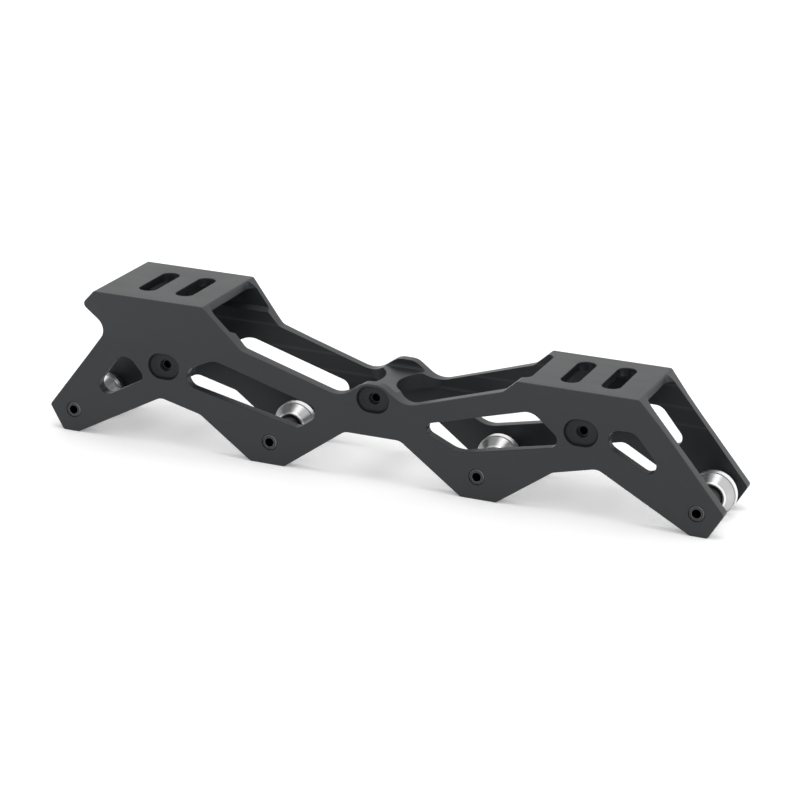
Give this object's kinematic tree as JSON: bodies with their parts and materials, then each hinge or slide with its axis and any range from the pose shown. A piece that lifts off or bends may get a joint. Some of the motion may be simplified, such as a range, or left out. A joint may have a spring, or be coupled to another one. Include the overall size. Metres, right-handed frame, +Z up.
{
  "type": "inline skate frame",
  "caption": "Machined aluminium inline skate frame with windowed, flared walls, slotted heel and toe decks for a boot, pull-out wheel axles and loose bearing spacers.",
  "frame": {"origin": "on the plane of the walls' feet, under the middle of the wheelbase", "axes": "+X from heel to toe, +Y across the frame towards the axle heads, +Z up towards the boot"},
  "size_m": [0.2622, 0.0436, 0.0578],
  "materials": {
    "anodised_aluminium": "satin dark grey anodised",
    "steel": "dark machined",
    "bare_aluminium": "bright turned",
    "black_steel": "black oxide"
  },
  "bodies": {
    "frame": {"frame_channel": "anodised_aluminium", "screw_left_1": "black_steel", "screw_left_2": "black_steel", "screw_left_3": "black_steel", "screw_right_1": "black_steel", "screw_right_2": "black_steel", "screw_right_3": "black_steel"},
    "axle_1": {"axle_1": "steel"},
    "axle_2": {"axle_2": "steel"},
    "axle_3": {"axle_3": "steel"},
    "axle_4": {"axle_4": "steel"},
    "spacer_1": {"spacer_1": "bare_aluminium"},
    "spacer_2": {"spacer_2": "bare_aluminium"},
    "spacer_3": {"spacer_3": "bare_aluminium"},
    "spacer_4": {"spacer_4": "bare_aluminium"}
  },
  "joints": [
    {"name": "axle_1_pull", "type": "slide", "parent": "frame", "child": "axle_1", "axis": [0, 1, 0], "range_m": [0, 0.04]},
    {"name": "axle_2_pull", "type": "slide", "parent": "frame", "child": "axle_2", "axis": [0, 1, 0], "range_m": [0, 0.04]},
    {"name": "axle_3_pull", "type": "slide", "parent": "frame", "child": "axle_3", "axis": [0, 1, 0], "range_m": [0, 0.04]},
    {"name": "axle_4_pull", "type": "slide", "parent": "frame", "child": "axle_4", "axis": [0, 1, 0], "range_m": [0, 0.04]},
    {"name": "spacer_1_slide", "type": "slide", "parent": "frame", "child": "spacer_1", "axis": [0, 1, 0], "range_m": [-0.0122, 0.0018]},
    {"name": "spacer_2_slide", "type": "slide", "parent": "frame", "child": "spacer_2", "axis": [0, 1, 0], "range_m": [-0.0136, 0.0004]},
    {"name": "spacer_3_slide", "type": "slide", "parent": "frame", "child": "spacer_3", "axis": [0, 1, 0], "range_m": [-0.0132, 0.0008]},
    {"name": "spacer_4_slide", "type": "slide", "parent": "frame", "child": "spacer_4", "axis": [0, 1, 0], "range_m": [-0.0117, 0.0023]}
  ]
}
